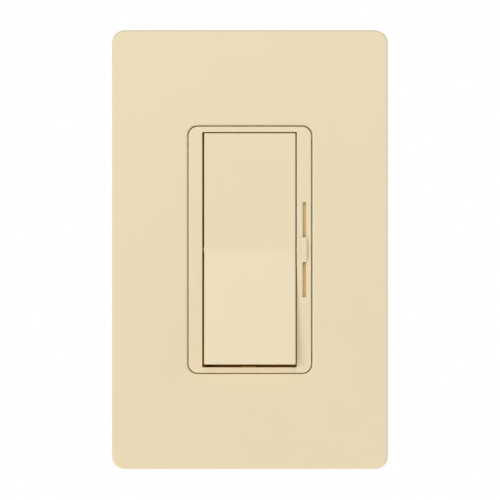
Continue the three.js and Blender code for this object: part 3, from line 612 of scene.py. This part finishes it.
def make_cover():
    """The screwless plate, which snaps over the sub-plate."""
    low, high = box_mm("wallplate_cover")
    size = (high.x - low.x, high.z - low.z, PLATE["corner"])
    front, rim = low.y, high.y
    inside = front + PLATE["wall"]
    hollow = (size[0] - 2 * PLATE["wall"], size[1] - 2 * PLATE["wall"], size[2] - PLATE["wall"])
    opening = (OPENING["width"], OPENING["height"], OPENING["corner"])
    rings = edge_rings(size, PLATE["edge"], rim, front, steps=7)
    rings += reversed(edge_rings(opening, OPENING["edge"], inside, front, outward=True, steps=7))
    rings += reversed(edge_rings(hollow, 0.5, rim, inside, steps=4))
    cover = lofted("wallplate_cover_moulding", rings, closed=True)
    combine(cover, "UNION", snap_hooks(inside) + cover_ribs(inside, hollow))
    notch = block("notch", (-3, 3), (rim - 1.2, rim + 1), (low.z - 1, low.z + 2.8))
    combine(cover, "DIFFERENCE", [notch])
    stand_for(cover, "wallplate_cover")


def snap_hooks(inside):
    """The four hooks that catch behind the sub-plate."""
    low, high = box_mm("wallplate_adapter")
    catch = high.y + 0.3
    hooks = []
    for x in mirrored(18):
        for side in mirrored(1):
            leg = sorted(side * (high.z + reach) for reach in (0.3, 1.5))
            barb = sorted(side * (high.z + reach) for reach in (-0.8, 0.4))
            hooks.append(block("leg", around(x, 8), (inside - 0.2, catch + 0.9), leg))
            hooks.append(block("barb", around(x, 8), (catch, catch + 0.9), barb))
    return hooks


def cover_ribs(inside, hollow):
    """Low ribs that stiffen the inside of the cover, clear of the sub-plate's rim."""
    ribs = []
    for x in mirrored(25.5):
        ribs.append(block("rib", around(x, 0.9), (inside - 0.2, inside + 0.4), around(0, hollow[1] - 24)))
    for z in mirrored(43):
        ribs.append(block("rib", around(0, hollow[0] - 24), (inside - 0.2, inside + 0.4), around(z, 0.9)))
    return ribs


def make_adapter():
    """The sub-plate that the cover snaps to, with a collar round the device face."""
    low, high = box_mm("wallplate_adapter")
    rim_front, front, back = low.y, ADAPTER["front"], ADAPTER["back"]
    rim, corner = ADAPTER["rim"], ADAPTER["corner"]
    width, height = high.x - low.x, high.z - low.z
    sheet = slab("wallplate_adapter_moulding", (width, height, corner), (rim_front, back), back_edge=0.4)
    well = slab("well", (width - 2 * rim, height - 2 * rim, corner - 1), (rim_front - 1, front))
    combine(sheet, "DIFFERENCE", [well])
    face_low, face_high = box_mm("bezel")
    opening = (face_high.x - face_low.x + 0.6, face_high.z - face_low.z + 0.6)
    collar_size = (opening[0] + 2 * rim, opening[1] + 2 * rim, FACE["corner"] + rim)
    collar = slab("collar", collar_size, (rim_front, front + 0.5), front_edge=0.2)
    combine(sheet, "UNION", [collar] + adapter_ribs())
    cuts = [slab("opening", (*opening, FACE["corner"] + 0.3), (rim_front - 1, 1))]
    for z in mirrored(BOX_SCREW_Z):
        cuts.append(slab("clearance", (8, 6.6, 3.29), (front - 1, 1), 0, z))
    for z in mirrored(ADAPTER["screw_z"]):
        seat = [(3.6, front - 0.4), (2.0, front + 1.2), (2.0, 1)]
        cuts.append(turned("seat", seat, 0, z))
    combine(sheet, "DIFFERENCE", cuts)
    stand_for(sheet, "wallplate_adapter")


def adapter_ribs():
    """Ribs on the wall side of the sub-plate, outside the strap."""
    depth = (ADAPTER["back"] - 0.2, ADAPTER["back"] + 0.9)
    ribs = [block("rib", around(x, 0.8), depth, around(0, 92)) for x in mirrored(31.4)]
    for x in mirrored(22.5):
        for z in mirrored(44):
            ribs.append(block("rib", around(x, 14), depth, around(z, 0.8)))
    return ribs


# ---------------------------------------------------------------- mounting strap


def make_yoke():
    """The aluminium strap that holds the device to the wall box and cools its triac."""
    half, ear, top, shoulder = YOKE["half"], YOKE["ear"], YOKE["top"], YOKE["shoulder"]
    quarter = [
        (half, shoulder - 6),
        (half - 6, shoulder),
        (ear + 3, shoulder),
        (ear, shoulder + 4),
        (ear, top - 2),
        (ear - 2, top),
    ]
    backwards = quarter[::-1]
    points = quarter + [(-x, z) for x, z in backwards]
    points += [(-x, -z) for x, z in quarter] + [(x, -z) for x, z in backwards]
    strap = polygon("yoke_stamping", rounded(points, 1.2), (YOKE["front"], 0))
    cuts = [
        slab("plunger_window", (9, 9, 1), (-3, 1), WELL["x"]),
        slab("lever_window", (3.2, 29.5, 1), (-3, 1), SLOT["x"]),
        rod("triac_hole", 1.8, (-3, 1), TRIAC["x"], TRIAC["screw_z"]),
        rod("ground_hole", 1.3, (-3, 1), GROUND["x"], GROUND["z"]),
        block("step", around(0, 2 * half + 2), (YOKE["back"], 1), around(0, 2 * YOKE["step"])),
    ]
    for z in mirrored(BOX_SCREW_Z):
        cuts.append(slab("box_slot", (7, 4.2, 2.09), (-3, 1), 0, z))
    for z in mirrored(ADAPTER["screw_z"]):
        cuts.append(rod("plate_hole", 2.05, (-3, 1), 0, z))
    for x, z in corner_places(STAKE["x"], STAKE["z"]):
        cuts.append(rod("stake_hole", 1.35, (-3, 1), x, z))
    for x, z in corner_places(BOSS["x"], BOSS["z"]):
        cuts.append(rod("boss_hole", BOSS["hole"], (-3, 1), x, z))
    for x in mirrored(half - 6.5):
        front_groove = (YOKE["front"] - 1, YOKE["front"] + 0.5)
        cuts.append(block("score", around(x, 0.6), front_groove, around(0, 2 * top)))
        cuts.append(block("score", around(x, 0.5), (YOKE["back"] - 0.25, 1), around(0, 2 * top)))
    combine(strap, "DIFFERENCE", cuts)
    ease_edges(strap, 0.12, 1, 40)
    stand_for(strap, "yoke_plate")


# ---------------------------------------------------------------- device face


def flared_cutter(name, size, front, back, flare, x=0.0, lip=0.0):
    """A cutter for an opening whose front edge is rounded over. lip is where its wall is divided."""
    rings = edge_rings(size, flare, back, front, x=x, outward=True)
    if lip:
        rings.insert(1, (rings[0][0], front + lip))
    rings.append((rings[-1][0], front - 1))
    return lofted(name, rings)


def make_bezel():
    """The device face, with the paddle's well and the slider's slot."""
    low, high = box_mm("bezel")
    front = low.y
    size = (high.x - low.x, high.z - low.z, FACE["corner"])
    face = lofted("device_face", edge_rings(size, FACE["edge"], FACE["back"], front, steps=6))
    behind = FACE["back"] + 1
    well = (WELL["width"], WELL["height"], 0.15)
    slot = (SLOT["width"], SLOT["height"], 0.12)
    channel = (CHANNEL["front"], behind)
    cutters = [
        flared_cutter("well", well, front, FACE["floor"], 0.15, WELL["x"], WELL["lip"]),
        flared_cutter("slot", slot, front, CHANNEL["front"] + 0.5, 0.08, SLOT["x"]),
        block("channel", around(SLOT["x"], CHANNEL["width"]), channel, around(0, CHANNEL["height"])),
        block("relief", around(-14.8, 2.2), channel, around(0, CHANNEL["height"])),
        block("window", around(WELL["x"], 9), (FACE["floor"] - 0.5, behind), around(0, 9)),
    ]
    pivot = Vector(JOINTS["rocker_tilt"]["pos_m"]) / MM
    left, right = around(WELL["x"], WELL["width"])
    hole, depth = PIVOT["hole"], PIVOT["hole_depth"]
    cutters.append(cross_rod("pivot_right", hole, (right - 0.5, right + depth), pivot.y, pivot.z))
    cutters.append(cross_rod("pivot_left", hole, (left - depth, left + 0.5), pivot.y, pivot.z))
    combine(face, "DIFFERENCE", cutters)
    combine(face, "UNION", [service_tab(low.z)] + stakes(high.y))
    stand_for(face, "bezel")
    shade_well(face, front + WELL["lip"])


def service_tab(face_bottom):
    """The tab of the air-gap service switch, which shows in the gap below the paddle."""
    bottom = face_bottom + SERVICE_TAB["above_edge"]
    top = SERVICE_TAB["into_well"] - WELL["height"] / 2
    return block("service_tab", SERVICE_TAB["x"], SERVICE_TAB["y"], (bottom, top))


def stakes(back):
    """The four pegs that hold the face to the strap, with their flattened heads."""
    pegs = []
    for x, z in corner_places(STAKE["x"], STAKE["z"]):
        pegs.append(rod("stake", STAKE["radius"], (FACE["back"] - 0.5, 0.5), x, z, STAKE["sides"]))
        head = [(STAKE["head"], 0.1), (STAKE["head"], back - 0.3), (STAKE["head"] - 0.4, back)]
        pegs.append(turned("stake_head", head, x, z, STAKE["sides"]))
    return pegs


def shade_well(face, start):
    """Paints the well's walls and floor, behind the depth start, a deeper brown: painted shade on the same ivory
    plastic.
    """
    face.data.materials.append(MATERIALS["painted_shade_well"])
    for patch in face.data.polygons:
        middle = patch.center / MM
        across = abs(middle.x - WELL["x"]) < WELL["width"] / 2 + 0.1
        along = abs(middle.z) < WELL["height"] / 2 + 0.1
        if across and along and start < middle.y < FACE["floor"] + 0.1:
            patch.material_index = 1


# ---------------------------------------------------------------- paddle and what it pushes


def make_paddle():
    """Two flat halves that meet in a shallow valley, drawn level and then tilted to rest."""
    softness = 0.45

    def valley(z):
        return -math.tan(math.radians(half_range())) * (math.hypot(z, softness) - softness)

    distances = (27, 18, 9, 3, 2, 1.4, 1, 0.7, 0.4, 0.2)
    levels = [-z for z in distances] + [0] + list(reversed(distances))
    width, height, skirt, crease = PADDLE["width"], PADDLE["height"], PADDLE["skirt"], PADDLE["crease"]
    side, corner = PADDLE_WALL["side"], 0.3
    hollow = outline(width - 2 * side, height - 2 * side, corner, 0, PADDLE["z"], levels)
    rings = [(hollow, crease + PADDLE_WALL["front"]), (hollow, skirt)]
    outer = (width, height, corner)
    rings += edge_rings(outer, PADDLE_WALL["edge"], skirt, crease, z=PADDLE["z"], levels=levels, steps=6)
    paddle = lofted("paddle", rings, bend=valley, strips=True)
    combine(paddle, "UNION", paddle_inside())
    combine(paddle, "DIFFERENCE", [rod("bore", POST["bore"], (-0.5, POST["back"] + 0.5), WELL["x"], 0)])
    tilt_with(paddle, "rocker_tilt", -half_range())
    stand_for(paddle, "rocker_paddle")


def paddle_inside():
    """The plunger post, its two ribs, and the pivot pins, level."""
    pivot_y = JOINTS["rocker_tilt"]["pos_m"][1] / MM
    wall = PADDLE_WALL["side"]
    under = PADDLE["crease"] + PADDLE_WALL["front"] - 0.4
    skirt = PADDLE["skirt"]
    rib = 1.2
    left, right = around(0, PADDLE["width"])
    pin, length = PIVOT["pin"], PIVOT["pin_length"]
    return [
        block("web", around(0, PADDLE["width"] - 1), (under, skirt - 0.35), around(0, rib)),
        block("spine", around(WELL["x"], rib), (under, skirt - 1.4), around(0, PADDLE["height"] - 2)),
        rod("post", POST["radius"], (under, POST["back"]), WELL["x"], 0),
        cross_rod("lug_left", PIVOT["lug"], (left + 0.05, left + wall), pivot_y, 0),
        cross_rod("lug_right", PIVOT["lug"], (right - wall, right - 0.05), pivot_y, 0),
        cross_rod("pin_left", pin, (left - length, left + 0.5), pivot_y, 0),
        cross_rod("pin_right", pin, (right - 0.5, right + length), pivot_y, 0),
    ]


def make_plunger():
    """A pin with a round nose."""
    radius, front, nose, edge = (PLUNGER[key] for key in ("radius", "front", "nose", "edge"))
    profile = [
        (radius - edge, front),
        (radius, front + edge),
        (radius, POST["back"] + 0.1),
        (radius, nose),
    ]
    steps = 9
    for i in range(1, steps):
        angle = math.pi / 2 * i / steps
        profile.append((radius * math.cos(angle), nose + radius * math.sin(angle)))
    plunger = turned("plunger_pin", profile, WELL["x"], 0)
    tilt_with(plunger, "rocker_tilt", -half_range())
    stand_for(plunger, "contact_plunger")


def make_spring():
    """A wound spring with closed ends."""
    coil, wire_radius, turns, closed_turns = 1.05, 0.15, 5.5, 0.75
    start, end = -0.05, 2.75
    end_pitch = 0.15
    steps = int(turns * 20)
    points = []
    for i in range(steps + 1):
        turn = turns * i / steps
        rise = max(0.0, min(1.0, (turn - closed_turns) / (turns - 2 * closed_turns)))
        angle = 2 * math.pi * turn
        y = start + (end - start) * rise + end_pitch * (turn / turns - rise)
        points.append((WELL["x"] + coil * math.cos(angle), y, coil * math.sin(angle)))
    spring = wire("plunger_coil", points, wire_radius)
    tilt_with(spring, "rocker_tilt", -half_range())
    stand_for(spring, "plunger_spring")
    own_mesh(spring)


# ---------------------------------------------------------------- slider


def make_knob():
    """A cap with sloped ends on a thin shank that runs through the slot."""
    front, shoulder, back = (KNOB_DEPTH[key] for key in ("front", "shoulder", "back"))
    half, bevel = KNOB["height"] / 2, KNOB["bevel"]
    side = [
        (back, -half),
        (back, half),
        (shoulder, half),
        (front, half - bevel),
        (front, bevel - half),
        (shoulder, -half),
    ]
    mesh = bmesh.new()
    rows = []
    for across in around(KNOB["x"], KNOB["width"]):
        rows.append([mesh.verts.new((across, y, z)) for y, z in side])
    join_rows(mesh, rows)
    mesh.faces.new(rows[0])
    mesh.faces.new(rows[1])
    knob = finish_mesh("slide_knob", mesh)
    ease_edges(knob, 0.16, 4, 20)
    shank = slab("shank", (0.55, 4.2, 0.1), (back - 0.2, -3.9), SLOT["x"])
    combine(knob, "UNION", [shank])
    stand_for(knob, "slider_knob")


# ---------------------------------------------------------------- back housing


def make_housing():
    """The box behind the strap, with four screw bosses and two exits for the leads."""
    low, high = box_mm("back_housing")
    width, height, corner, wall = (HOUSING[key] for key in ("width", "height", "corner", "wall"))
    front, back = low.y, HOUSING["back"]
    rings = edge_rings((width, height, corner), 0.8, front, back, steps=5)
    shell = lofted("housing_moulding", rings)
    cavity = slab("cavity", (width - 2 * wall, height - 2 * wall, 1.8), (front - 1, back - wall))
    combine(shell, "DIFFERENCE", [cavity])
    added = []
    for x, z in corner_places(BOSS["x"], BOSS["z"]):
        size = (BOSS["width"], BOSS["width"], 0.6)
        added.append(slab("boss", size, (front, back - 1), x, z))
    collar, lead_hole, edge = (LEAD_COLLAR[key] for key in ("radius", "hole", "edge"))
    for x in LEAD_EXITS:
        profile = [(collar, back - 1), (collar, high.y - edge), (collar - edge, high.y)]
        added.append(turned("collar", profile, x, LEAD_EXIT_Z))
    combine(shell, "UNION", added)
    cuts = housing_reliefs(width, height, back)
    for x, z in corner_places(BOSS["x"], BOSS["z"]):
        cuts.append(rod("screw_hole", BOSS["hole"], (front - 1, back + 1), x, z))
        bore, flare = BOSS["counterbore"], BOSS["counterbore"] + 0.25
        mouth = [(bore, back - BOSS["depth"]), (bore, back - 0.25), (flare, back), (flare, back + 1)]
        cuts.append(turned("counterbore", mouth, x, z))
    for x in LEAD_EXITS:
        flare = lead_hole + edge
        mouth = [(lead_hole, back - 4), (lead_hole, high.y - edge), (flare, high.y), (flare, high.y + 1)]
        cuts.append(turned("lead_exit", mouth, x, LEAD_EXIT_Z))
    combine(shell, "DIFFERENCE", cuts)
    stand_for(shell, "back_housing")


def housing_reliefs(width, height, back):
    """Shallow recesses: a blank panel and a strip gauge behind, and flutes on the sides and ends."""
    depth = 0.35
    cuts = [
        slab("panel", (27, 24, 1.5), (back - depth, back + 1), 0, 6),
        slab("strip_gauge", (1.6, 12, 0.7), (back - depth, back + 1), -10, -19),
    ]
    for x, z in ((-16, -10), (16, -10), (0, 26)):
        cuts.append(rod("ejector_mark", 1.5, (back - 0.12, back + 1), x, z))
    for side in mirrored(1):
        across = sorted((side * (width / 2 - depth), side * (width / 2 + 1)))
        for k in range(-4, 5):
            cuts.append(block("side_flute", across, (7, 25), around(k * 5.2, 3.6)))
        along = sorted((side * (height / 2 - depth), side * (height / 2 + 1)))
        for k in range(-2, 3):
            cuts.append(block("end_flute", around(k * 5.2, 3.6), (7, 25), along))
    return cuts


# ---------------------------------------------------------------- screws and rivets


def make_screw(node, profile, thread, slot):
    """profile and thread are as in turned. slot is (width, from, to), cut across the head."""
    low, high = box_mm(node)
    middle = (low + high) / 2
    screw = turned(node + "_threaded", profile, middle.x, middle.z, 36, thread)
    width, start, end = slot
    cutter = block("slot", around(middle.x, 9), (start, end), around(middle.z, width))
    combine(screw, "DIFFERENCE", [cutter])
    stand_for(screw, node)


def make_screws():
    """Domed box screws, countersunk plate screws, long housing screws and the short one on the triac."""
    dome = [(0.7, -3.8), (1.6, -3.66), (2.3, -3.3), (2.75, -2.8), (3.0, -2.3), (3.0, -1.95), (2.85, -1.8)]
    domed = dome + [(1.7, -1.8), (1.7, 21.5), (0.9, 22.8)]
    countersunk = [(2.8, -3.8), (2.9, -3.7), (1.7, -2.5), (1.7, 7.4), (1.1, 8.2)]
    for end in ("top", "bottom"):
        make_screw("mounting_screw_" + end, domed, (-1.0, 22.3, 0.8, 0.35), (0.9, -5, -2.9))
        make_screw("adapter_screw_" + end, countersunk, (-2.0, 8.0, 0.8, 0.35), (0.8, -5, -3.0))
    long = [(0.8, -1.3), (1.2, -0.8), (1.2, 28.1), (2.2, 28.1), (2.2, 29.2), (1.9, 29.5), (1.4, 29.7)]
    for number in range(1, 5):
        make_screw("housing_screw_" + str(number), long, (-1.2, 12.0, 1.0, 0.28), (0.7, 29.0, 31))
    short = [(1.2, -1.2), (1.4, -1.0), (1.4, 2.2), (2.5, 2.2), (2.5, 3.1), (2.2, 3.5), (1.6, 3.8)]
    make_screw("triac_screw", short, (-1.1, 2.1, 0.7, 0.25), (0.8, 3.1, 5))


# ---------------------------------------------------------------- electronics


def make_winding():
    """The choke's turns of enamelled wire round its ring core."""
    core_low, core_high = box_mm("choke_core")
    low, high = box_mm("choke_winding")
    centre = (core_low + core_high) / 2
    radius, core_thickness = 0.3, 4.2
    outer = (high.x - low.x) / 2 - radius
    inner = outer - (high.x - core_high.x) * 2 + 2 * radius - core_thickness
    front, back = low.y + radius, high.y - radius
    turns, opening = 30, math.radians(34)
    section = rounded([(inner, front), (outer, front), (outer, back), (inner, back)], 0.7, 2)
    points = []
    for k in range(turns):
        for i, (reach, y) in enumerate(section):
            share = (k + i / len(section)) / turns
            angle = math.pi / 2 + opening / 2 + share * (2 * math.pi - opening)
            points.append((centre.x + reach * math.cos(angle), y, centre.z + reach * math.sin(angle)))
    stand_for(wire("choke_turns", points, radius, 2), "choke_winding")


def make_capacitor(node):
    """A film capacitor dipped in epoxy."""
    low, high = box_mm(node)
    size = (high.x - low.x, high.z - low.z, 1.4)
    middle = (low + high) / 2
    body = slab(node + "_dipped", size, (low.y, high.y), middle.x, middle.z, 0.5, 1.2, 4)
    stand_for(body, node)


def make_ring_core():
    """The choke's ferrite ring, with eased edges."""
    low, high = box_mm("choke_core")
    middle = (low + high) / 2
    outer, bore, edge = (high.x - low.x) / 2, 4.6, 0.5
    inset = outer - edge
    profile = [(inset, low.y), (outer, low.y + edge), (outer, high.y - edge), (inset, high.y)]
    core = turned("choke_ring", profile, middle.x, middle.z, 64)
    mouth = bore + edge
    hole = [(mouth, low.y - edge), (bore, low.y + edge), (bore, high.y - edge), (mouth, high.y + edge)]
    combine(core, "DIFFERENCE", [turned("hole", hole, middle.x, middle.z, 64)])
    stand_for(core, "choke_core")


# ---------------------------------------------------------------- the whole device

make_camera()
make_lights()
make_world()
make_floor()
bpy.context.scene.view_settings.view_transform = "Standard"
MATERIALS = make_materials()

make_cover()
make_adapter()
make_yoke()
make_bezel()
make_paddle()
make_plunger()
make_spring()
make_knob()
make_housing()
make_screws()
make_ring_core()
make_winding()
for capacitor in ("film_capacitor_main", "film_capacitor_timing"):
    make_capacitor(capacitor)

# The CAD nodes that no piece above stands for keep their shape, with their edges eased by these widths.
FINE = ("ground_lug", "ground_rivet", "lead_eyelet_line", "lead_eyelet_load", "moving_contact", "diac")
FINE_EDGE, EDGE = 0.06, 0.12
for node in NODES:
    if not NODES[node].hide_render:
        keep_node(node, FINE_EDGE if node in FINE else EDGE)
# The carriage shows only through the slot, so it takes the painted shade of the slot's inside.
NODES["slider_carriage"].data.materials[0] = MATERIALS["painted_shade_shutter"]
